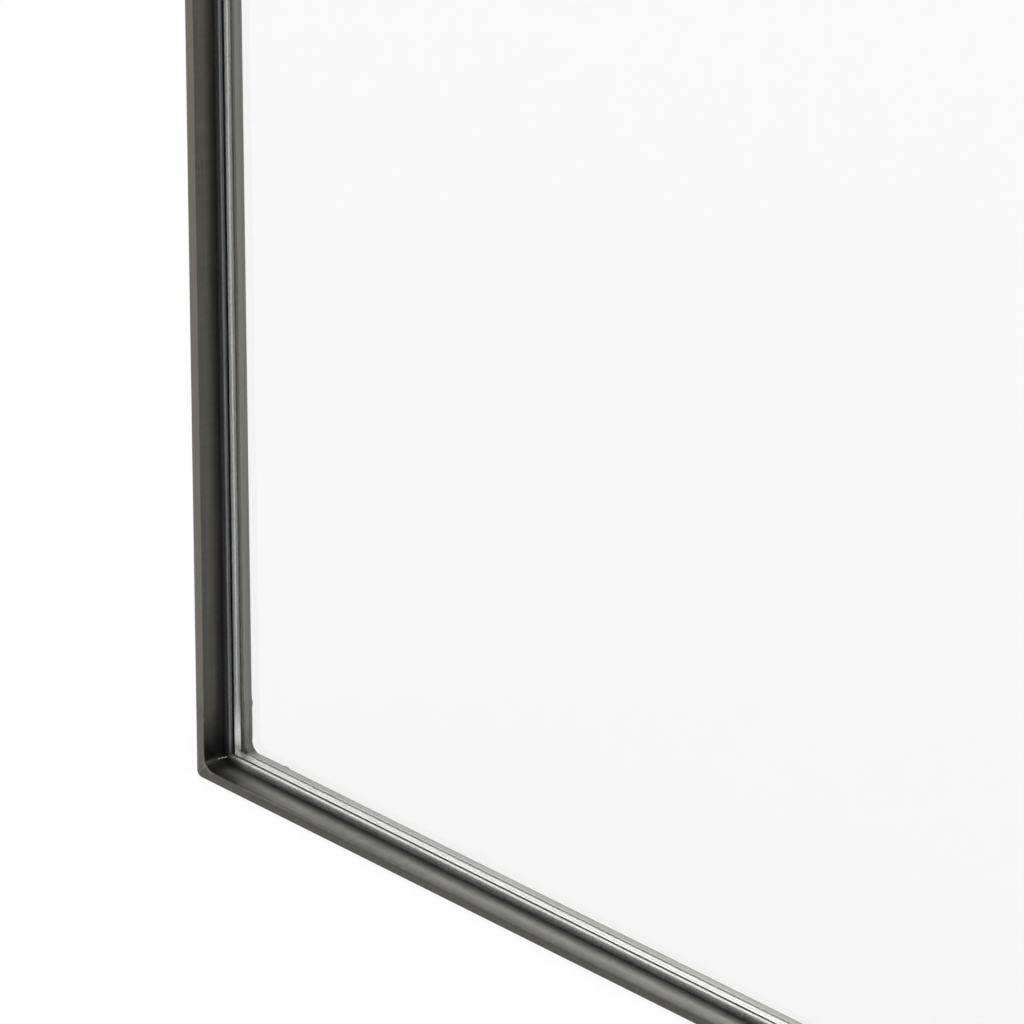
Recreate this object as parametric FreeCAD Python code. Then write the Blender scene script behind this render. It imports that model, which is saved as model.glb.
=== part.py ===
"""Rectangular wall mirror: a stepped, welded steel frame round a silvered glass pane.

Flat bars on edge make the outer frame. Steel angles welded inside them make a tray, whose
front edge shows as a narrow ledge beside the glass. The tray holds the backing board, the
tape and the glass. Two ring hangers on the board carry the mirror on wall hooks.

Row frame: X to the viewer's right, Y from the front to the wall, Z up, in millimetres.
The origin is the centre of the bottom bar's underside.
"""

import FreeCAD
import Part
import math
import os

# Whole mirror
overall_width = 610.0
overall_height = 914.0
cut_overrun = 5.0

# Outer frame, flat bars on edge, mitred, welded and ground at the corners
bar_thickness = 4.0
bar_depth = 32.0
corner_outer_radius = 2.5
corner_inner_radius = 4.0
bar_arris_chamfer = 0.4

# Inner frame, angles with one leg beside the glass and one leg behind the board
ledge_setback = 9.5
angle_thickness = 4.0
angle_back_leg = 24.0
ledge_arris_radius = 1.5

# Glass pane and its silvering
glass_thickness = 4.0
glass_edge_gap = 0.5
glass_drop = 0.2
glass_seam = 0.4
silver_thickness = 0.2

# Foam tape between the silvering and the board
tape_thickness = 0.8
tape_width = 25.0
tape_edge_margin = 35.0
tape_strip_count = 5

# Backing board
board_thickness = 12.0
board_edge_gap = 1.0

# Pan-head screws through the angles' back legs into the board
screw_shank_radius = 1.9
screw_length = 12.0
screw_head_radius = 3.7
screw_head_height = 1.7
screw_hole_clearance = 0.3
screw_pilot_clearance = 0.05
screw_leg_inset = 7.0
stile_screw_count = 3
screw_corner_margin = 95.0

# Weld beads: along the back mitres, and deep in each corner of the front recess
back_weld_radius = 1.3
back_weld_margin = 3.0
recess_weld_radius = 1.1
recess_weld_length = 3.6

# Ring hangers on the board: a strap curled round the straight side of a D ring
hanger_from_top = 230.0
hanger_from_side = 85.0
strap_width = 15.0
strap_length = 46.0
strap_thickness = 1.2
strap_end_share = 0.45
strap_curl_degrees = 300.0
ring_wire_radius = 1.5
ring_bar_length = 16.6
ring_corner_radius = 4.0
ring_clearance = 0.1
ring_wire_sides = 8
hanger_screw_first = 25.0
hanger_screw_pitch = 13.0
hanger_screw_radius = 1.7
hanger_screw_length = 9.0
hanger_head_radius = 3.3
hanger_head_height = 1.7

# Rubber bumpers that keep the back off the wall
bumper_radius = 6.0
bumper_thickness = 3.9
bumper_corner_distance = 60.0

# Places worked out from the sizes above
front_y = -bar_depth / 2
ledge_y = front_y + ledge_setback
glass_front_y = ledge_y + glass_drop
glass_back_y = glass_front_y + glass_thickness
silver_back_y = glass_back_y + silver_thickness
board_front_y = silver_back_y + tape_thickness
board_back_y = board_front_y + board_thickness
angle_back_y = board_back_y + angle_thickness
tray_inset = bar_thickness + angle_thickness
leg_inset = bar_thickness + angle_back_leg
mitre_reach = leg_inset + cut_overrun
barrel_inner_radius = ring_wire_radius + ring_clearance
barrel_outer_radius = barrel_inner_radius + strap_thickness
ring_axis_y = board_back_y + barrel_outer_radius
ring_arc_radius = ring_bar_length / 2 + ring_corner_radius
hanger_seat_y = board_back_y + strap_thickness
hanger_z = overall_height - hanger_from_top
hanger_x = overall_width / 2 - hanger_from_side
sides = {"left": "stile", "right": "stile", "top": "rail", "bottom": "rail"}


def vec(x, y, z):
    return FreeCAD.Vector(x, y, z)


def block(x0, x1, y0, y1, z0, z1):
    """A box between two corners."""
    return Part.makeBox(x1 - x0, y1 - y0, z1 - z0, vec(x0, y0, z0))


def cylinder_y(radius, x, z, y0, y1):
    """A cylinder along Y from y0 to y1."""
    return Part.makeCylinder(radius, y1 - y0, vec(x, y0, z), vec(0, 1, 0))


def prism_y(points, y0, y1):
    """A prism along Y over a polygon of (x, z) points."""
    corners = [vec(x, y0, z) for x, z in points]
    face = Part.Face(Part.makePolygon(corners + corners[:1]))
    return face.extrude(vec(0, y1 - y0, 0))


def rounded_prism(inset, radius, y0, y1):
    """The mirror's outline, moved in by inset, with rounded corners, as a prism along Y."""
    x0 = -overall_width / 2 + inset
    x1 = overall_width / 2 - inset
    z0 = inset
    z1 = overall_height - inset
    solid = block(x0, x1, y0, y1, z0, z1)
    uprights = [e for e in solid.Edges if abs(e.tangentAt(e.FirstParameter).y) > 1 / 2]
    return solid.makeFillet(radius, uprights)


def mitre_region(side):
    """The part of space that one side's bars may fill, bounded by the 45 degree mitres."""
    left = -overall_width / 2
    right = overall_width / 2
    top = overall_height
    over = cut_overrun
    reach = mitre_reach
    regions = {
        "left": [(left - over, -over), (left + reach, reach),
                 (left + reach, top - reach), (left - over, top + over)],
        "right": [(right + over, -over), (right - reach, reach),
                  (right - reach, top - reach), (right + over, top + over)],
        "bottom": [(left - over, -over), (right + over, -over),
                   (right - reach, reach), (left + reach, reach)],
        "top": [(left - over, top + over), (right + over, top + over),
                (right - reach, top - reach), (left + reach, top - reach)],
    }
    return prism_y(regions[side], front_y - over, angle_back_y + bar_depth)


def outer_ring():
    """The whole outer frame before it is split at the mitres, with softened front arrises."""
    outside = rounded_prism(0, corner_outer_radius, front_y, front_y + bar_depth)
    inside = rounded_prism(bar_thickness, corner_inner_radius,
                           front_y - cut_overrun, front_y + bar_depth + cut_overrun)
    ring = outside.cut(inside)
    front_edges = [e for e in ring.Edges
                   if e.BoundBox.YMax < front_y + bar_arris_chamfer / 2]
    return ring.makeChamfer(bar_arris_chamfer, front_edges)


def angle_profile():
    """The angle's section in (inset, y): the ledge arris beside the glass is rounded."""
    x_out = bar_thickness
    x_in = tray_inset
    x_leg = leg_inset
    r = ledge_arris_radius
    mid = r * (1 - math.sqrt(1 / 2))
    outline = [
        Part.LineSegment(vec(x_out, ledge_y, 0), vec(x_in - r, ledge_y, 0)),
        Part.Arc(vec(x_in - r, ledge_y, 0), vec(x_in - mid, ledge_y + mid, 0), vec(x_in, ledge_y + r, 0)),
        Part.LineSegment(vec(x_in, ledge_y + r, 0), vec(x_in, board_back_y, 0)),
        Part.LineSegment(vec(x_in, board_back_y, 0), vec(x_leg, board_back_y, 0)),
        Part.LineSegment(vec(x_leg, board_back_y, 0), vec(x_leg, angle_back_y, 0)),
        Part.LineSegment(vec(x_leg, angle_back_y, 0), vec(x_out, angle_back_y, 0)),
        Part.LineSegment(vec(x_out, angle_back_y, 0), vec(x_out, ledge_y, 0)),
    ]
    return Part.Face(Part.Wire([piece.toShape() for piece in outline]))


def angle_bar(side):
    """One inner angle: its section run along the side, mitred, and ground to the outer corner."""
    upright = side in ("left", "right")
    length = overall_height if upright else overall_width
    bar = angle_profile().extrude(vec(0, 0, length))
    if side == "left":
        bar.translate(vec(-overall_width / 2, 0, 0))
    elif side == "right":
        bar = bar.mirror(vec(0, 0, 0), vec(1, 0, 0))
        bar.translate(vec(overall_width / 2, 0, 0))
    else:
        bar.rotate(vec(0, 0, 0), vec(0, 1, 0), 90)
        bar.translate(vec(-overall_width / 2, 0, 0))
        if side == "bottom":
            bar = bar.mirror(vec(0, 0, 0), vec(0, 0, 1))
        else:
            bar.translate(vec(0, 0, overall_height))
    tray = rounded_prism(bar_thickness, corner_inner_radius,
                         ledge_y - cut_overrun, angle_back_y + cut_overrun)
    bar = bar.common(mitre_region(side)).common(tray)
    for x, z in screw_places(side):
        bar = bar.cut(cylinder_y(screw_shank_radius + screw_hole_clearance, x, z,
                                 board_back_y - cut_overrun, angle_back_y + cut_overrun))
    return bar


def screw_places(side):
    """The (x, z) of each board screw on one side: a row up each stile, one in mid rail."""
    inset = leg_inset - screw_leg_inset
    if side == "bottom":
        return [(0, inset)]
    if side == "top":
        return [(0, overall_height - inset)]
    x = overall_width / 2 - inset
    pitch = (overall_height - 2 * screw_corner_margin) / (stile_screw_count - 1)
    runs = [screw_corner_margin + pitch * i for i in range(stile_screw_count)]
    return [(-x if side == "left" else x, run) for run in runs]


def pan_screw(x, z, seat_y, radius, length, head_radius, head_height):
    """A plain-shanked screw with a flat round head, its head seated at seat_y."""
    shank = cylinder_y(radius, x, z, seat_y - length, seat_y)
    head = cylinder_y(head_radius, x, z, seat_y, seat_y + head_height)
    return head.fuse(shank).removeSplitter()


def board_screws():
    """The screws through the angles' back legs into the board."""
    places = [place for side in sides for place in screw_places(side)]
    return [pan_screw(x, z, angle_back_y, screw_shank_radius, screw_length,
                      screw_head_radius, screw_head_height) for x, z in places]


def glass_pane():
    """The glass, with its sharp edges seamed by a small chamfer."""
    inset = tray_inset + glass_edge_gap
    half = overall_width / 2
    pane = block(-half + inset, half - inset, glass_front_y, glass_back_y,
                 inset, overall_height - inset)
    face_edges = [e for e in pane.Edges if abs(e.tangentAt(e.FirstParameter).y) < 1 / 2]
    return pane.makeChamfer(glass_seam, face_edges)


def silver_coat():
    """The silvering and its paint, on the back of the glass inside the seamed edge."""
    inset = tray_inset + glass_edge_gap + glass_seam
    half = overall_width / 2
    return block(-half + inset, half - inset, glass_back_y, silver_back_y,
                 inset, overall_height - inset)


def mounting_tape():
    """Upright strips of foam tape, evenly spaced across the pane."""
    first = -overall_width / 2 + tray_inset + tape_edge_margin
    pitch = (-2 * first - tape_width) / (tape_strip_count - 1)
    strips = []
    for i in range(tape_strip_count):
        x = first + pitch * i
        strips.append(block(x, x + tape_width, silver_back_y, board_front_y,
                            tray_inset + tape_edge_margin,
                            overall_height - tray_inset - tape_edge_margin))
    return strips


def backing_board():
    """The board inside the tray, with pilot holes for every screw."""
    inset = tray_inset + board_edge_gap
    half = overall_width / 2
    board = block(-half + inset, half - inset, board_front_y, board_back_y,
                  inset, overall_height - inset)
    pilots = []
    for side in sides:
        for x, z in screw_places(side):
            pilots.append(cylinder_y(screw_shank_radius + screw_pilot_clearance, x, z,
                                     angle_back_y - screw_length - screw_pilot_clearance,
                                     board_back_y + cut_overrun))
    for x, z in hanger_screw_places():
        pilots.append(cylinder_y(hanger_screw_radius + screw_pilot_clearance, x, z,
                                 hanger_seat_y - hanger_screw_length - screw_pilot_clearance,
                                 board_back_y + cut_overrun))
    return board.cut(pilots)


def hanger_screw_places():
    """The (x, z) of the two screws in each strap."""
    lows = [hanger_z - hanger_screw_first - hanger_screw_pitch * i for i in range(2)]
    return [(x, z) for x in (-hanger_x, hanger_x) for z in lows]


def curl_point(radius, degrees):
    """A point in (y, z) on the curl, by its angle from the board side, up and over the wire."""
    angle = math.radians(degrees)
    return vec(0, ring_axis_y - radius * math.cos(angle), hanger_z + radius * math.sin(angle))


def hanger_strap(x):
    """A steel strap on the board, its top curled over the ring's straight side."""
    half = strap_width / 2
    low_z = hanger_z - strap_length
    outer = [curl_point(barrel_outer_radius, strap_curl_degrees * i / 2) for i in range(3)]
    inner = [curl_point(barrel_inner_radius, strap_curl_degrees * i / 2) for i in range(3)]
    section = [
        Part.LineSegment(vec(0, board_back_y, low_z), outer[0]),
        Part.Arc(outer[0], outer[1], outer[2]),
        Part.LineSegment(outer[2], inner[2]),
        Part.Arc(inner[2], inner[1], inner[0]),
        Part.LineSegment(inner[0], vec(0, hanger_seat_y, low_z)),
        Part.LineSegment(vec(0, hanger_seat_y, low_z), vec(0, board_back_y, low_z)),
    ]
    strap = Part.Face(Part.Wire([piece.toShape() for piece in section])).extrude(vec(strap_width, 0, 0))
    strap.translate(vec(x - half, 0, 0))
    low_corners = [e for e in strap.Edges
                   if abs(e.tangentAt(e.FirstParameter).y) > 1 / 2
                   and e.BoundBox.ZMax < low_z + strap_thickness]
    strap = strap.makeFillet(strap_width * strap_end_share, low_corners)
    for sx, sz in hanger_screw_places():
        if abs(sx - x) < half:
            strap = strap.cut(cylinder_y(hanger_screw_radius + screw_hole_clearance, sx, sz,
                                         board_back_y - cut_overrun, hanger_seat_y + cut_overrun))
    return strap


def wire_bend(start, section_normal, centre, degrees):
    """A bend of the ring's wire: its many-sided section turned about an upright axis at centre."""
    across = section_normal.cross(vec(0, 1, 0))
    corners = []
    for i in range(ring_wire_sides):
        angle = 2 * math.pi * (i + 1 / 2) / ring_wire_sides
        corners.append(start + across * (ring_wire_radius * math.cos(angle))
                       + vec(0, ring_wire_radius * math.sin(angle), 0))
    section = Part.Face(Part.makePolygon(corners + corners[:1]))
    return section.revolve(centre, vec(0, 1, 0), degrees)


def hanger_ring(x):
    """A D ring: a round straight side in the strap's curl, and a bow of wire below it."""
    half = ring_bar_length / 2
    low_z = hanger_z - ring_corner_radius
    bar = Part.makeCylinder(ring_wire_radius, ring_bar_length,
                            vec(x - half, ring_axis_y, hanger_z), vec(1, 0, 0))
    pieces = []
    for sign in (-1, 1):
        start = vec(x + sign * half, ring_axis_y, hanger_z)
        centre = vec(x + sign * half, ring_axis_y, low_z)
        pieces.append(wire_bend(start, vec(1, 0, 0), centre, sign * 90))
    start = vec(x + ring_arc_radius, ring_axis_y, low_z)
    pieces.append(wire_bend(start, vec(0, 0, 1), vec(x, ring_axis_y, low_z), 180))
    return bar.fuse(pieces)


def hanger_screws():
    """The screws that hold the straps to the board."""
    return [pan_screw(x, z, hanger_seat_y, hanger_screw_radius, hanger_screw_length,
                      hanger_head_radius, hanger_head_height) for x, z in hanger_screw_places()]


def wall_bumper(x, z):
    """A rubber bumper on the angle's back."""
    return cylinder_y(bumper_radius, x, z, angle_back_y, angle_back_y + bumper_thickness)


def back_weld(corner_x, corner_z, toward_x, toward_z):
    """A half-round bead along one back mitre, from near the outer bar to near the leg's edge."""
    diagonal = math.sqrt(2)
    start = bar_thickness + corner_inner_radius / 2 + back_weld_margin
    run = (leg_inset - back_weld_margin - start) * diagonal
    origin = vec(corner_x + toward_x * start, angle_back_y, corner_z + toward_z * start)
    bead = Part.makeCylinder(back_weld_radius, run, origin, vec(toward_x, 0, toward_z))
    x1 = corner_x + toward_x * leg_inset
    z1 = corner_z + toward_z * leg_inset
    behind = block(min(corner_x, x1), max(corner_x, x1),
                   angle_back_y, angle_back_y + 2 * back_weld_radius,
                   min(corner_z, z1), max(corner_z, z1))
    return bead.common(behind)


def recess_weld(corner_x, corner_z, toward_x, toward_z):
    """The last of the corner weld, left unground deep in the recess, down to the ledge."""
    fillet_middle = bar_thickness + corner_inner_radius * (1 - math.sqrt(1 / 2))
    x = corner_x + toward_x * fillet_middle
    z = corner_z + toward_z * fillet_middle
    start_y = ledge_y - recess_weld_length
    bead = cylinder_y(recess_weld_radius, x, z, start_y, ledge_y)
    return bead.common(rounded_prism(bar_thickness, corner_inner_radius, front_y, ledge_y))


def corners():
    """Each outer corner with the directions in which the mirror lies from it."""
    half = overall_width / 2
    return [(-half, 0, 1, 1), (half, 0, -1, 1),
            (-half, overall_height, 1, -1), (half, overall_height, -1, -1)]


def export(name, shapes):
    """Writes one node's solids to parts/NAME.step."""
    solids = [solid for shape in shapes for solid in shape.Solids]
    for solid in solids:
        if not solid.isValid():
            raise ValueError(name + " has an invalid solid")
    shape = solids[0] if len(solids) == 1 else Part.makeCompound(solids)
    shape.exportStep(os.path.join("parts", name + ".step"))
    volume = sum(solid.Volume for solid in solids)
    print(name, len(solids), "solids", round(volume, 1), "mm3")


def main():
    os.makedirs("parts", exist_ok=True)
    ring = outer_ring()
    for side, kind in sides.items():
        export("outer_" + side + "_" + kind, [ring.common(mitre_region(side))])
        export("inner_" + side + "_angle", [angle_bar(side)])
    export("mirror_glass", [glass_pane()])
    export("silver_coat", [silver_coat()])
    export("mounting_tape", mounting_tape())
    export("backing_board", [backing_board()])
    export("board_screws", board_screws())
    export("hanger_strap_left", [hanger_strap(-hanger_x)])
    export("hanger_strap_right", [hanger_strap(hanger_x)])
    export("hanger_ring_left", [hanger_ring(-hanger_x)])
    export("hanger_ring_right", [hanger_ring(hanger_x)])
    export("hanger_screws", hanger_screws())
    bumper_inset = bar_thickness + angle_back_leg / 2
    for name, x_sign, z in (("top_left", -1, overall_height - bumper_corner_distance),
                            ("top_right", 1, overall_height - bumper_corner_distance),
                            ("bottom_left", -1, bumper_corner_distance),
                            ("bottom_right", 1, bumper_corner_distance)):
        export("wall_bumper_" + name, [wall_bumper(x_sign * (overall_width / 2 - bumper_inset), z)])
    export("back_mitre_welds", [back_weld(*c) for c in corners()])
    export("recess_corner_welds", [recess_weld(*c) for c in corners()])


main()
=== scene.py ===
# %% [markdown]
# # A rectangular mirror in a stepped steel frame
# The real mirror is a pane of silvered glass that sits back in a frame of flat steel bars.
# A second, narrower steel edge shows between the bars and the glass. This script dresses the
# construction model of the mirror: it remakes the pieces whose surface matters most, gives
# every piece a procedural finish, and sets up a pale studio and a long lens on one corner.

# %% Load the construction model
import bmesh
import bpy
import math
from mathutils import Matrix, Vector, noise


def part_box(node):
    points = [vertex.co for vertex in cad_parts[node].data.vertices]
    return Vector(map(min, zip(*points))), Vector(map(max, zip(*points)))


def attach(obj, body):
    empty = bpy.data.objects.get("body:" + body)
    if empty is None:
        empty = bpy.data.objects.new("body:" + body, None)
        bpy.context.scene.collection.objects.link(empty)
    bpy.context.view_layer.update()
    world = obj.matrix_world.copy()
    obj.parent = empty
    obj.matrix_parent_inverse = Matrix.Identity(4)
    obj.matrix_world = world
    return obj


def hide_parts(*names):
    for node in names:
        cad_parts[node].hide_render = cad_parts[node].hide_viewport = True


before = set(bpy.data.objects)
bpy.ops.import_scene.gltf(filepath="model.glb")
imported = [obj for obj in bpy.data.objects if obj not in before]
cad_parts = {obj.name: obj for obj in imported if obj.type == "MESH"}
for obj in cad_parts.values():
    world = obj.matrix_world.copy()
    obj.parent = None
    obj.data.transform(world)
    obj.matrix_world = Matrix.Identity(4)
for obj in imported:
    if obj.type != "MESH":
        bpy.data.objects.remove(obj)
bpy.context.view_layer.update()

# %% [markdown]
# ## Sizes come from the model
# Nothing is measured twice. The bars' thickness, the depth of the recess and the places of the
# screws are read from the model's own boxes, so the new surfaces fit the old ones. Only small
# surface sizes, such as how far an edge is worn round, are written here.

# %% Sizes read from the model
MM = 0.001
stile_low, stile_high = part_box("outer_left_stile")
angle_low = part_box("inner_left_angle")[0]
glass_low, glass_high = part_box("mirror_glass")
silver_low, silver_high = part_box("silver_coat")
half_width = -stile_low.x
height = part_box("outer_top_rail")[1].z
front_y = stile_low.y
back_y = stile_high.y
bar = angle_low.x - stile_low.x
ledge_y = angle_low.y
GLASS_GAP = 0.5 * MM
ledge_inset = half_width + glass_low.x - GLASS_GAP
middle = Vector((0, 0, height / 2))
print("bar", bar, "recess", ledge_y - front_y, "ledge ends", ledge_inset, "height", height)

# %% [markdown]
# ## Small helpers for meshes
# Every new piece is a bmesh, shaped by operators and then written into an object that stays at
# the origin. Keeping the object unmoved means that patterns that read Object coordinates use
# real places on the mirror, and pieces that touch share one pattern space.

# %% Mesh helpers
def finish_piece(name, bm, body, material, replaced, smooth_angle=None):
    """Writes a bmesh to an object and ties it to the model's body, slot and nodes."""
    mesh = bpy.data.meshes.new(name)
    bm.to_mesh(mesh)
    bm.free()
    piece = bpy.data.objects.new(name, mesh)
    bpy.context.scene.collection.objects.link(piece)
    mesh.materials.append(material)
    if smooth_angle is not None:
        mesh.shade_smooth()
        mesh.set_sharp_from_angle(angle=math.radians(smooth_angle))
    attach(piece, body)
    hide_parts(*replaced)
    print(name, len(mesh.polygons), "faces")
    return piece


def bevel(bm, edges, offset, segments):
    """Rounds edges by a real radius."""
    return bmesh.ops.bevel(bm, geom=edges, offset=offset, offset_type="OFFSET",
                           segments=segments, profile=0.5, affect="EDGES", material=-1,
                           clamp_overlap=True)


def depth_run(edge):
    """How far an edge runs from front to back."""
    return abs(edge.verts[0].co.y - edge.verts[1].co.y)


def extrude_loop(bm, loop):
    """Extrudes a closed loop of edges, and gives the new loop's edges and vertices."""
    made = bmesh.ops.extrude_edge_only(bm, edges=loop)["geom"]
    verts = [g for g in made if isinstance(g, bmesh.types.BMVert)]
    edges = [g for g in made if isinstance(g, bmesh.types.BMEdge)
             and all(v in verts for v in g.verts)]
    return edges, verts


def frame_ring(profile):
    """A mitred frame: a rectangle is extruded from point to point of its section and closed."""
    bm = bmesh.new()
    bmesh.ops.create_grid(bm, x_segments=1, y_segments=1, size=1)
    bmesh.ops.rotate(bm, cent=(0, 0, 0), matrix=Matrix.Rotation(math.radians(90), 4, "X"),
                     verts=bm.verts)
    bmesh.ops.translate(bm, vec=middle, verts=bm.verts)
    bmesh.ops.delete(bm, geom=bm.faces[:], context="FACES_ONLY")
    loop, verts = bm.edges[:], bm.verts[:]
    for step, (inset, y) in enumerate(profile + profile[:1]):
        if step:
            loop, verts = extrude_loop(bm, loop)
        for vert in verts:
            x = math.copysign(half_width - inset, vert.co.x)
            z = math.copysign(height / 2 - inset, vert.co.z - height / 2)
            vert.co = Vector((x, y, height / 2 + z))
    bmesh.ops.remove_doubles(bm, verts=bm.verts, dist=MM / 1000)
    bmesh.ops.recalc_face_normals(bm, faces=bm.faces)
    return bm


def turned(profile, steps):
    """A round piece: its half section in (radius, y) is spun about the Y axis and closed."""
    bm = bmesh.new()
    verts = [bm.verts.new((radius, y, 0)) for radius, y in profile]
    edges = [bm.edges.new(pair) for pair in zip(verts, verts[1:])]
    bmesh.ops.spin(bm, geom=verts + edges, cent=(0, 0, 0), axis=(0, 1, 0), dvec=(0, 0, 0),
                   angle=2 * math.pi, steps=steps, use_merge=True, use_normal_flip=False,
                   use_duplicate=False)
    bmesh.ops.remove_doubles(bm, verts=bm.verts, dist=MM / 10000)
    bmesh.ops.recalc_face_normals(bm, faces=bm.faces)
    return bm


def put(target, source, matrix):
    """Adds one mesh to another, moved by a matrix, and frees the first."""
    bmesh.ops.transform(source, matrix=matrix, verts=source.verts)
    mesh = bpy.data.meshes.new("moved")
    source.to_mesh(mesh)
    source.free()
    target.from_mesh(mesh)
    bpy.data.meshes.remove(mesh)


def solid_boxes(node):
    """The box of each separate solid in a node of the model."""
    bm = bmesh.new()
    bm.from_mesh(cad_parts[node].data)
    bmesh.ops.remove_doubles(bm, verts=bm.verts, dist=MM / 100)
    left = set(bm.verts)
    boxes = []
    while left:
        front = [left.pop()]
        island = []
        while front:
            vert = front.pop()
            island.append(vert.co.copy())
            for edge in vert.link_edges:
                other = edge.other_vert(vert)
                if other in left:
                    left.remove(other)
                    front.append(other)
        boxes.append((Vector(map(min, zip(*island))), Vector(map(max, zip(*island)))))
    bm.free()
    return sorted(boxes, key=lambda b: (round(b[0].x, 4), round(b[0].z, 4)))


# %% [markdown]
# ## Small helpers for materials
# A material is a few nodes in a row, so a few short functions are enough. The first fills a
# node's inputs: a socket of another node is joined, and any other value is set. With it, the
# common nodes can each be added in one line: a sum, a ramp, some noise, a blend of colours.

# %% Node helpers
def feed(tree, node, values):
    """Fills a node's inputs: a socket is joined, any other value is set."""
    for key, value in dict(values).items():
        if isinstance(value, bpy.types.NodeSocket):
            tree.links.new(value, node.inputs[key])
        else:
            node.inputs[key].default_value = value


def add(tree, kind, values=(), **settings):
    """Adds a node, sets its properties and fills its inputs."""
    node = tree.nodes.new(kind)
    for key, value in settings.items():
        setattr(node, key, value)
    feed(tree, node, values)
    return node


def calc(tree, operation, *values):
    """One step of arithmetic."""
    return add(tree, "ShaderNodeMath", dict(enumerate(values)), operation=operation).outputs[0]


def ramp(tree, value, start, end, low=0, high=1, **settings):
    """Goes from low to high while a value goes from start to end, and stops there."""
    return add(tree, "ShaderNodeMapRange",
               {"Value": value, "From Min": start, "From Max": end, "To Min": low,
                "To Max": high}, clamp=True, **settings).outputs["Result"]


def object_place(tree):
    """Where a point lies on the mirror."""
    return add(tree, "ShaderNodeTexCoord").outputs["Object"]


def mottle(tree, scale, detail, roughness=0.5):
    """Soft noise, with its scale in waves per metre."""
    return add(tree, "ShaderNodeTexNoise",
               {"Vector": object_place(tree), "Scale": scale, "Detail": detail,
                "Roughness": roughness}).outputs["Fac"]


def two_tone(tree, mask, dark, light):
    """The blend of two colours by a mask."""
    return add(tree, "ShaderNodeMix", {"Factor": mask, "A": (*dark, 1), "B": (*light, 1)},
               data_type="RGBA").outputs["Result"]


def tint(tree, mask, base, colour, share):
    """Mixes a colour over another by a share of a mask."""
    return add(tree, "ShaderNodeMix", {"Factor": calc(tree, "MULTIPLY", mask, share),
                                       "A": base, "B": (*colour, 1)},
               data_type="RGBA").outputs["Result"]


def tints(tree, shade, layers):
    """Mixes several colours over a shade, each given with its mask and its share."""
    for mask, colour, share in layers:
        shade = tint(tree, mask, shade, colour, share)
    return shade


def both_masks(tree, one, other):
    """Where two masks hold at once."""
    return calc(tree, "MULTIPLY", one, other)


def opposite(tree, mask):
    """Where a mask doesn't hold."""
    return calc(tree, "SUBTRACT", 1, mask)


def weighed(tree, one, one_share, other, other_share):
    """A share of one mask and a share of another, added up."""
    return calc(tree, "MULTIPLY_ADD", one, one_share,
                calc(tree, "MULTIPLY", other, other_share))


def relief(tree, height_mask, strength, depth):
    """The normal of a fine relief."""
    return add(tree, "ShaderNodeBump", {"Height": height_mask, "Strength": strength,
                                        "Distance": depth}).outputs["Normal"]


# %% [markdown]
# ## Small helpers for groups and materials
# A group is made once with named sockets and placed in each material that needs it. A new
# material starts from its shader with plain values, and a node of the model that keeps its
# shape is simply given one.

# %% Group and material helpers
def new_group(name, inputs, outputs):
    """A shader node group with named number or vector sockets."""
    group = bpy.data.node_groups.new(name, "ShaderNodeTree")
    kinds = {"value": "NodeSocketFloat", "vector": "NodeSocketVector"}
    for label, kind, default in inputs:
        socket = group.interface.new_socket(label, in_out="INPUT", socket_type=kinds[kind])
        socket.default_value = default
    for label, kind in outputs:
        group.interface.new_socket(label, in_out="OUTPUT", socket_type=kinds[kind])
    return group, group.nodes.new("NodeGroupInput"), group.nodes.new("NodeGroupOutput")


def new_material(name, metallic, roughness, colour):
    """A material with its Principled shader set to plain values."""
    material = bpy.data.materials.new(name)
    material.use_nodes = True
    shader = material.node_tree.nodes["Principled BSDF"]
    shader.inputs["Metallic"].default_value = metallic
    shader.inputs["Roughness"].default_value = roughness
    shader.inputs["Base Color"].default_value = (*colour, 1)
    return material, material.node_tree, shader


def dress(node, material):
    """Gives a node of the model its finish."""
    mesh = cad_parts[node].data
    mesh.materials.clear()
    mesh.materials.append(material)


# %% [markdown]
# ## Effects that several finishes share
# Drawn steel has long faint streaks, and most real surfaces have cloudy patches. Streaks are
# ordinary noise whose coordinates are stretched: a large number across the bar and a small one
# along it. Grinding leaves its mark near the corners, and wear and dirt follow the edges, and so
# do the painted shade and painted light of the recess and the glass rim, so two more effects go
# by place. Each is one group that puts out masks from 0 to 1.

# %% Shared effects
def streak_group():
    """Stretched noise, spread so that Low gives 0 and High gives 1."""
    group, inlet, outlet = new_group(
        "long streaks",
        [("Stretch", "vector", (1, 1, 1)), ("Detail", "value", 4), ("Low", "value", 0.35),
         ("High", "value", 0.65)],
        [("Mask", "value")])
    given = inlet.outputs
    stretch = add(group, "ShaderNodeVectorMath", {0: object_place(group), 1: given["Stretch"]},
                  operation="MULTIPLY")
    grain = add(group, "ShaderNodeTexNoise", {"Vector": stretch.outputs[0], "Scale": 1,
                                              "Detail": given["Detail"], "Roughness": 0.6})
    feed(group, outlet, {"Mask": ramp(group, grain.outputs["Fac"], given["Low"], given["High"])})
    return group


def insets(group):
    """How far in a point lies from the nearer side and from the nearer end of the frame."""
    centred = add(group, "ShaderNodeVectorMath", {0: object_place(group), 1: middle},
                  operation="SUBTRACT")
    folded = add(group, "ShaderNodeVectorMath", {0: centred.outputs[0]}, operation="ABSOLUTE")
    split = add(group, "ShaderNodeSeparateXYZ", {0: folded.outputs[0]}).outputs
    return (calc(group, "SUBTRACT", half_width, split["X"]),
            calc(group, "SUBTRACT", height / 2, split["Z"]))


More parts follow.
